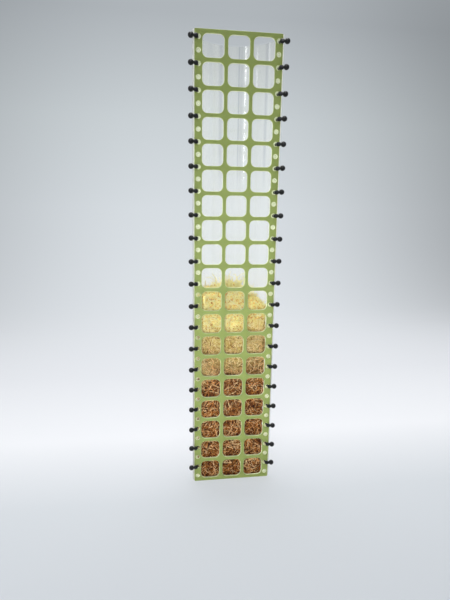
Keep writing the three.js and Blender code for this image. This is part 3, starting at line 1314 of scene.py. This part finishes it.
@dataclass
class ClearSheet:
    """Thin clear sheet bowed into a half round behind the panel, with a hole for each pin, in millimetres."""

    pins: BeadPins
    thickness: float = 0.5
    half_width: float = 41.4
    margin_end: float = 33.6
    inner_fold: float = 0.3
    margin_front: float = -17.05
    apex: float = 23.55
    hole_diameter: float = 2.2
    hole_shift: float = 0.9
    drill_thicknesses: int = 4
    fold_steps: int = 5
    bow_steps: int = 96
    rows: int = 20
    hole_sides: int = 16
    sharp_angle: float = math.radians(35)

    NODE = "clear_sheet"

    def skin(self, inset: float) -> list[FlatPoint]:
        """Give the points of one face of the section, from the left margin's end round to the right one's.

        Args:
            inset: Distance from the outer face.

        Returns:
            X and Y of each point.
        """
        outer_fold = self.inner_fold + self.thickness
        centre_x, centre_y = self.half_width - outer_fold, self.margin_front + outer_fold
        fold = (outer_fold - inset, outer_fold - inset)
        bow = (self.half_width - inset, self.apex - inset - centre_y)
        margin_y, quarter = self.margin_front + inset, -math.pi / 2
        return [
            (-self.margin_end, margin_y),
            *arc((-centre_x, centre_y), fold, quarter, quarter, self.fold_steps),
            *arc((0.0, centre_y), bow, math.pi, -math.pi, self.bow_steps)[1:-1],
            *arc((centre_x, centre_y), fold, 0.0, quarter, self.fold_steps),
            (self.margin_end, margin_y),
        ]

    def blank(self) -> Mesh:
        """Make the sheet without its holes.

        Returns:
            The closed mesh.
        """
        section = self.skin(0) + self.skin(self.thickness)[::-1]
        count, height = len(section), self.pins.panel.height
        heights = [height * row / self.rows for row in range(self.rows + 1)]
        points = [Vector((x, y, z)) * MM for z in heights for x, y in section]
        faces = ring_faces(len(heights), count)
        for start in (0, self.rows * count):
            for index in range(count // 2 - 1):
                inner = count - 1 - index
                faces.append((start + index, start + index + 1, start + inner - 1, start + inner))
        mesh = mesh_of("sheet_blank", points, faces)
        close_and_turn_out(mesh)
        return mesh

    def recipe(self) -> Recipe:
        """Build the tree that drills the pins' holes through both margins.

        Returns:
            The finished tree.
        """
        span = (self.pins.count - 1) * self.pins.pitch
        recipe = Recipe(
            "sheet_holes_tree",
            {
                "Hole Radius": self.hole_diameter / 2,
                "Drill Length": self.drill_thicknesses * self.thickness,
                "Span Across": 2 * (self.pins.panel.hole_offset + self.hole_shift),
                "Span Along": span,
                "Margin Middle": self.margin_front + self.thickness / 2,
                "Middle Height": self.pins.top - span / 2,
            },
            {"Hole Sides": self.hole_sides, "Holes": self.pins.count, "Sharp Angle": self.sharp_angle},
        )
        add, size = recipe.add, recipe.size
        grid = {
            "Size X": size("Span Across"),
            "Size Y": size("Span Along"),
            "Vertices X": len(Side),
            "Vertices Y": size("Holes"),
        }
        tube = {"Vertices": size("Hole Sides"), "Radius": size("Hole Radius"), "Depth": size("Drill Length")}
        drill = add("GeometryNodeMeshCylinder", tube, fill_type="NGON")
        copies = {"Points": add("GeometryNodeMeshGrid", grid), "Instance": drill}
        drills = add("GeometryNodeInstanceOnPoints", copies)
        place = add("ShaderNodeCombineXYZ", {"Y": size("Margin Middle"), "Z": size("Middle Height")})
        turned = {"Geometry": drills, "Translation": place, "Rotation": UPRIGHT}
        drills = add("GeometryNodeTransform", turned)
        cut = {"Mesh 1": size("Geometry"), "Mesh 2": add("GeometryNodeRealizeInstances", {"Geometry": drills})}
        drilled = add("GeometryNodeMeshBoolean", cut, operation="DIFFERENCE", solver="EXACT")
        smooth = add("GeometryNodeSetShadeSmooth", {"Geometry": drilled})
        bends = {"A": add("GeometryNodeInputMeshEdgeAngle"), "B": size("Sharp Angle")}
        sharp = add("FunctionNodeCompare", bends, data_type="FLOAT", operation="GREATER_THAN")
        edges = {"Geometry": smooth, "Selection": sharp, "Shade Smooth": False}
        shaded = add("GeometryNodeSetShadeSmooth", edges, domain="EDGE")
        recipe.close(shaded, ExtrudedPetSheet("extruded_pet_sheet_clear").material())
        return recipe

    def build(self) -> list[Object]:
        """Make the sheet and drill it.

        Returns:
            The finished piece.
        """
        piece = new_object("bowed_sheet", self.blank())
        self.recipe().run(piece)
        return [hand_over(piece, Slot.CLEAR, [self.NODE])]


@dataclass(frozen=True)
class Strands:
    """One kind of moss strand, in millimetres. Its lift is an angle off the heart, its tone a share of pale."""

    name: str
    per_square_cm: float
    length: float
    radius: float
    curl: float
    curl_size: float
    lift_least: float
    lift_most: float
    points: int
    seed: int
    tone_least: float = 0.0
    top_only: bool = False


@dataclass
class MossFill:
    """Loose sphagnum in the lower half of the hollow: a lumpy heart and the strands on it, in millimetres.

    The heart's lumps are fractal noise: its fall-off, the step from one size to the next and their number.
    """

    front: float = -17.05
    front_half: float = 33.1
    front_ease: float = 10.0
    centre_y: float = -16.25
    radius_x: float = 40.4
    radius_y: float = 38.8
    shoulder: float = 18.0
    height: float = 194.0
    tilt: float = 8.0
    crown: float = 16.0
    wave: float = 4.0
    loose_half: float = 14.0
    loose_depth: float = 6.0
    half_width: float = 40.0
    inset: float = 2.2
    top_drop: float = 3.0
    crown_shares: tuple[float, ...] = (0.85, 0.65, 0.4, 0.15)
    crown_rise: float = 2.0
    lump: float = 1.5
    lump_sink: float = 0.3
    lump_size: float = 11.0
    lump_noise: tuple[float, float, int] = (0.8, 2.0, 3)
    front_steps: int = 20
    arc_steps: int = 44
    levels: int = 40
    barb_depth: float = -9.5
    barb_half: float = 34.3
    barb_slope: float = 2.0
    heart_tone: float = 0.2
    layer_depth: float = 1.2
    loose_light_share: float = 0.5
    shortest_share: float = 0.5
    longest_share: float = 1.4
    root_share: float = 1.25
    tip_share: float = 0.45
    gap_radii: float = 1.35
    swirl_shift: float = 40.0
    kinds: tuple[Strands, ...] = (
        Strands("moss_strands", 11.0, 13.0, 0.5, 3.5, 4.5, -0.4, 0.3, 6, 11),
        Strands("moss_fibres", 9.0, 15.0, 0.26, 4.5, 5.0, -0.5, 0.3, 7, 17, tone_least=0.1),
        Strands("moss_wisps", 4.0, 27.0, 0.62, 11.0, 6.5, -1.3, -0.3, 12, 23, tone_least=0.9, top_only=True),
    )

    TONE = "tone"
    TOP = "top"
    NODE = "moss_fill"

    def outline(self, inset: float) -> list[FlatPoint]:
        """Give the section's points, pulled in by an inset: the flat front, then the bow's arc.

        Args:
            inset: Distance that the section is pulled in.

        Returns:
            X and Y of each point.
        """
        half = self.front_half - inset / self.front_ease
        shares = [2 * step / self.front_steps - 1 for step in range(self.front_steps + 1)]
        start = math.asin(self.shoulder / self.radius_y)
        radii = (self.radius_x - inset, self.radius_y - inset)
        bow = arc((0.0, self.centre_y), radii, start, math.pi - 2 * start, self.arc_steps)
        return [(half * share, self.front + inset) for share in shares] + bow

    def heart_top(self, x: float, y: float) -> float:
        """Give the height of the heart's top at a place.

        Args:
            x: Place across.
            y: Depth.

        Returns:
            The height.
        """
        across = x / self.half_width
        bumps = noise.noise(Vector((x, y, 0.0)) / self.lump_size)
        top = self.height - self.tilt * across + self.crown * (1 - across * across) + self.wave * bumps
        return top - self.top_drop

    def heart(self) -> Object:
        """Make the lumpy heart that the strands lie on, marked with its loose top and its tone.

        Returns:
            The heart.
        """
        section = self.outline(self.inset)
        middle = (self.front + self.centre_y + self.radius_y) / 2
        rings = []
        for level in range(self.levels + 1):
            share = level / self.levels
            rings.append([Vector((x, y, share * self.heart_top(x, y))) for x, y in section])
        for share in self.crown_shares:
            pulled = [(x * share, middle + (y - middle) * share) for x, y in section]
            rise = self.crown_rise * (1 - share)
            rings.append([Vector((x, y, self.heart_top(x, y) + rise)) for x, y in pulled])
        points = []
        for point in [point for ring in rings for point in ring]:
            out = Vector((point.x, point.y - middle, 0)).normalized()
            swell = noise.fractal(point / self.lump_size, *self.lump_noise)
            moved = (point + out * self.lump * (swell - self.lump_sink)) * MM
            points.append(Vector((moved.x, moved.y, max(moved.z, 0.0))))
        count = len(section)
        faces = ring_faces(len(rings), count)
        faces.append(tuple(range(count))[::-1])
        faces.append(tuple(range(len(points) - count, len(points))))
        mesh = mesh_of("moss_heart", points, faces)
        close_and_turn_out(mesh)
        mesh.shade_smooth()
        top = mesh.attributes.new(self.TOP, "FLOAT", "POINT")
        tone = mesh.attributes.new(self.TONE, "FLOAT", "POINT")
        for vertex, mark, shade in zip(mesh.vertices, top.data, tone.data):
            x, y, z = (value / MM for value in vertex.co)
            loose = z > self.heart_top(x, y) - self.loose_depth and abs(x) < self.loose_half
            mark.value = 1.0 if loose else 0.0
            shade.value = self.heart_tone
        return new_object("moss_heart", mesh)

    def recipe(self, kind: Strands, material: Material) -> Recipe:
        """Build the tree that lays curled strands of one kind on the heart.

        Args:
            kind: The kind of strand.
            material: Material of the strands.

        Returns:
            The finished tree.
        """
        recipe = Recipe(
            f"{kind.name}_tree",
            {
                "Half Length": kind.length / 2,
                "Radius": kind.radius,
                "Curl": kind.curl,
                "Front": self.front,
                "Bow Middle": self.centre_y,
                "Bow Across": self.radius_x,
                "Bow Back": self.radius_y,
                "Barb Half": self.barb_half,
                "Barb Depth": self.barb_depth,
                "Layer Depth": self.layer_depth,
            },
            {
                "Density": kind.per_square_cm / (10 * MM) ** 2,
                "Seed": kind.seed,
                "Curl Scale": scale_of(kind.curl_size),
                "Lift Least": kind.lift_least,
                "Lift Most": kind.lift_most,
                "Points": kind.points,
                "Tone Least": kind.tone_least,
                "Barb Slope": self.barb_slope,
            },
        )
        add, size = recipe.add, recipe.size
        laid = self.laid_lines(recipe, kind.top_only)
        tone = add("GeometryNodeInputNamedAttribute", {"Name": self.TONE}, data_type="FLOAT")
        noise_inputs = {
            "Vector": add("GeometryNodeInputPosition"),
            "W": add("ShaderNodeMath", {0: tone, 1: self.swirl_shift}, operation="MULTIPLY"),
            "Scale": size("Curl Scale"),
            "Detail": 1.0,
        }
        swirl = add("ShaderNodeTexNoise", noise_inputs, noise_dimensions="4D").outputs["Color"]
        centred = add("ShaderNodeVectorMath", {0: swirl, 1: (0.5, 0.5, 0.5)}, operation="SUBTRACT")
        reach = add("ShaderNodeMath", {0: size("Curl"), 1: 2.0}, operation="MULTIPLY")
        offset = add("ShaderNodeVectorMath", {0: centred, "Scale": reach}, operation="SCALE")
        curled = add("GeometryNodeSetPosition", {"Geometry": laid, "Offset": offset})
        gap = add("ShaderNodeMath", {0: size("Radius"), 1: self.gap_radii}, operation="MULTIPLY")
        gap = add("ShaderNodeMath", {0: tone, 1: size("Layer Depth"), 2: gap}, operation="MULTIPLY_ADD")
        held = {"Geometry": curled, "Position": self.held_place(recipe, gap)}
        along = add("GeometryNodeSplineParameter")
        taper = {"Value": along, "To Min": self.root_share, "To Max": self.tip_share}
        swept = {
            "Curve": add("GeometryNodeSetPosition", held),
            "Profile Curve": add("GeometryNodeCurvePrimitiveCircle", {"Resolution": 3, "Radius": size("Radius")}),
            "Scale": add("ShaderNodeMapRange", taper),
            "Fill Caps": True,
        }
        tubes = add("GeometryNodeCurveToMesh", swept)
        recipe.close(add("GeometryNodeSetShadeSmooth", {"Geometry": tubes}), material)
        return recipe

    def laid_lines(self, recipe: Recipe, top_only: bool) -> Node:
        """Add straight lines scattered on the heart, each with its own heading, length and tone.

        Args:
            recipe: Tree that takes the nodes.
            top_only: Whether they lie only on the heart's loose top.

        Returns:
            The node with the lines.
        """
        add, size = recipe.add, recipe.size
        seed = size("Seed")
        where = {"Mesh": size("Geometry"), "Density": size("Density"), "Seed": seed}
        if top_only:
            top = add("GeometryNodeInputNamedAttribute", {"Name": self.TOP}, data_type="FLOAT")
            marked = {"A": top, "B": 0.5}
            where["Selection"] = add(
                "FunctionNodeCompare", marked, data_type="FLOAT", operation="GREATER_THAN"
            )
        placed = add("GeometryNodeDistributePointsOnFaces", where)
        low = add("ShaderNodeCombineXYZ", {"Y": size("Lift Least")})
        high = add("ShaderNodeCombineXYZ", {"Y": size("Lift Most"), "Z": 2 * math.pi})
        headings = {"Min": low, "Max": high, "Seed": seed}
        heading = add("FunctionNodeRandomValue", headings, data_type="FLOAT_VECTOR")
        by = add("FunctionNodeEulerToRotation", {"Euler": heading})
        turn = {"Rotation": placed.outputs["Rotation"], "Rotate By": by}
        backwards = add("ShaderNodeMath", {0: size("Half Length"), 1: -1.0}, operation="MULTIPLY")
        start = add("ShaderNodeCombineXYZ", {"X": backwards})
        end = add("ShaderNodeCombineXYZ", {"X": size("Half Length")})
        line = add("GeometryNodeCurvePrimitiveLine", {"Start": start, "End": end})
        scales = {"Min": self.shortest_share, "Max": self.longest_share, "Seed": seed}
        copies = {
            "Points": placed,
            "Instance": add("GeometryNodeResampleCurve", {"Curve": line, "Count": size("Points")}, mode="COUNT"),
            "Rotation": add("FunctionNodeRotateRotation", turn, rotation_space="LOCAL"),
            "Scale": add("FunctionNodeRandomValue", scales, data_type="FLOAT"),
        }
        tones = {"Min": size("Tone Least"), "Max": 1.0, "Seed": seed}
        toned = {
            "Geometry": add("GeometryNodeInstanceOnPoints", copies),
            "Name": self.TONE,
            "Value": add("FunctionNodeRandomValue", tones, data_type="FLOAT"),
        }
        laid = add("GeometryNodeStoreNamedAttribute", toned, data_type="FLOAT", domain="INSTANCE")
        return add("GeometryNodeRealizeInstances", {"Geometry": laid})

    @staticmethod
    def held_place(recipe: Recipe, gap: Node) -> Node:
        """Add nodes that move a strand's points into the hollow, clear of its walls.

        Args:
            recipe: Tree that takes the nodes.
            gap: Node that gives the distance to keep from the walls.

        Returns:
            The node that gives the moved place.
        """
        add, size = recipe.add, recipe.size
        place = add("GeometryNodeInputPosition")
        nearest = add("ShaderNodeMath", {0: size("Front"), 1: gap}, operation="ADD")
        least = add("ShaderNodeCombineXYZ", {"X": -1.0, "Y": nearest, "Z": gap})
        place = add("ShaderNodeVectorMath", {0: place, 1: least}, operation="MAXIMUM")
        middle = add("ShaderNodeCombineXYZ", {"Y": size("Bow Middle")})
        out = add("ShaderNodeVectorMath", {0: place, 1: middle}, operation="SUBTRACT")
        across = add("ShaderNodeMath", {0: size("Bow Across"), 1: gap}, operation="SUBTRACT")
        back = add("ShaderNodeMath", {0: size("Bow Back"), 1: gap}, operation="SUBTRACT")
        reach = add("ShaderNodeCombineXYZ", {"X": across, "Y": back, "Z": 1.0})
        share = add("ShaderNodeVectorMath", {0: out, 1: reach}, operation="DIVIDE")
        share = add("ShaderNodeVectorMath", {0: share, 1: (1, 1, 0)}, operation="MULTIPLY")
        share = add("ShaderNodeVectorMath", {0: share}, operation="LENGTH")
        over = add("ShaderNodeMath", {0: share, 1: 1.0}, operation="MAXIMUM")
        over = add("ShaderNodeCombineXYZ", {"X": over, "Y": over, "Z": 1.0})
        out = add("ShaderNodeVectorMath", {0: out, 1: over}, operation="DIVIDE")
        place = add("ShaderNodeVectorMath", {0: out, 1: middle}, operation="ADD")
        depth = add("ShaderNodeSeparateXYZ", {"Vector": place}).outputs["Y"]
        behind = add("ShaderNodeMath", {0: depth, 1: size("Barb Depth")}, operation="SUBTRACT")
        behind = add("ShaderNodeMath", {0: behind, 1: 0.0}, operation="MAXIMUM")
        half = add("ShaderNodeMath", {0: size("Barb Half"), 1: gap}, operation="SUBTRACT")
        half = add("ShaderNodeMath", {0: behind, 1: size("Barb Slope"), 2: half}, operation="MULTIPLY_ADD")
        most = add("ShaderNodeCombineXYZ", {"X": half, "Y": 1.0, "Z": 1.0})
        least = add("ShaderNodeVectorMath", {0: most, "Scale": -1.0}, operation="SCALE")
        place = add("ShaderNodeVectorMath", {0: place, 1: most}, operation="MINIMUM")
        return add("ShaderNodeVectorMath", {0: place, 1: least}, operation="MAXIMUM")

    def hold_inside(self, mesh: Mesh) -> None:
        """Move a mesh's points back into the hollow, off the sheet, the panel, the barbs and the floor.

        Args:
            mesh: The mesh to hold.
        """
        flat = np.empty(3 * len(mesh.vertices))
        mesh.vertices.foreach_get("co", flat)
        x, y, z = flat.reshape(-1, 3).T / MM
        ratio = np.hypot(x / self.radius_x, (y - self.centre_y) / self.radius_y)
        share = 1 / np.maximum(1, ratio)
        x, y = x * share, self.centre_y + (y - self.centre_y) * share
        y = np.maximum(y, self.front)
        limit = self.barb_half + self.barb_slope * np.maximum(0, y - self.barb_depth)
        x, z = np.clip(x, -limit, limit), np.maximum(z, 0)
        mesh.vertices.foreach_set("co", (np.stack([x, y, z], axis=1) * MM).ravel())
        mesh.update()

    def build(self) -> list[Object]:
        """Make the heart and the strands.

        Returns:
            The finished pieces.
        """
        packed = DriedSphagnum("dried_sphagnum").material()
        loose = DriedSphagnum("dried_sphagnum_loose", light_share=self.loose_light_share).material()
        heart = self.heart()
        pieces = []
        for kind in self.kinds:
            piece = new_object(kind.name, heart.data.copy())
            self.recipe(kind, loose if kind.top_only else packed).run(piece)
            self.hold_inside(piece.data)
            pieces.append(hand_over(piece, Slot.MOSS, []))
        heart.data.materials.append(packed)
        self.hold_inside(heart.data)
        return [*pieces, hand_over(heart, Slot.MOSS, [self.NODE])]


def main() -> None:
    """Build the pole, its pieces in order, and the studio round it, and report each piece."""
    logging.basicConfig(level=logging.INFO, format="%(message)s")
    bpy.context.scene.view_settings.view_transform = "Standard"
    StudioCamera().build()
    Studio().build()
    panel = GridPanel()
    pins = BeadPins(panel)
    for part in (panel, ClearSheet(pins), pins, MossFill()):
        for piece in part.build():
            piece.data.calc_loop_triangles()
            log.info("%s: %d triangles", piece.name, len(piece.data.loop_triangles))


if __name__ == "__main__":
    main()
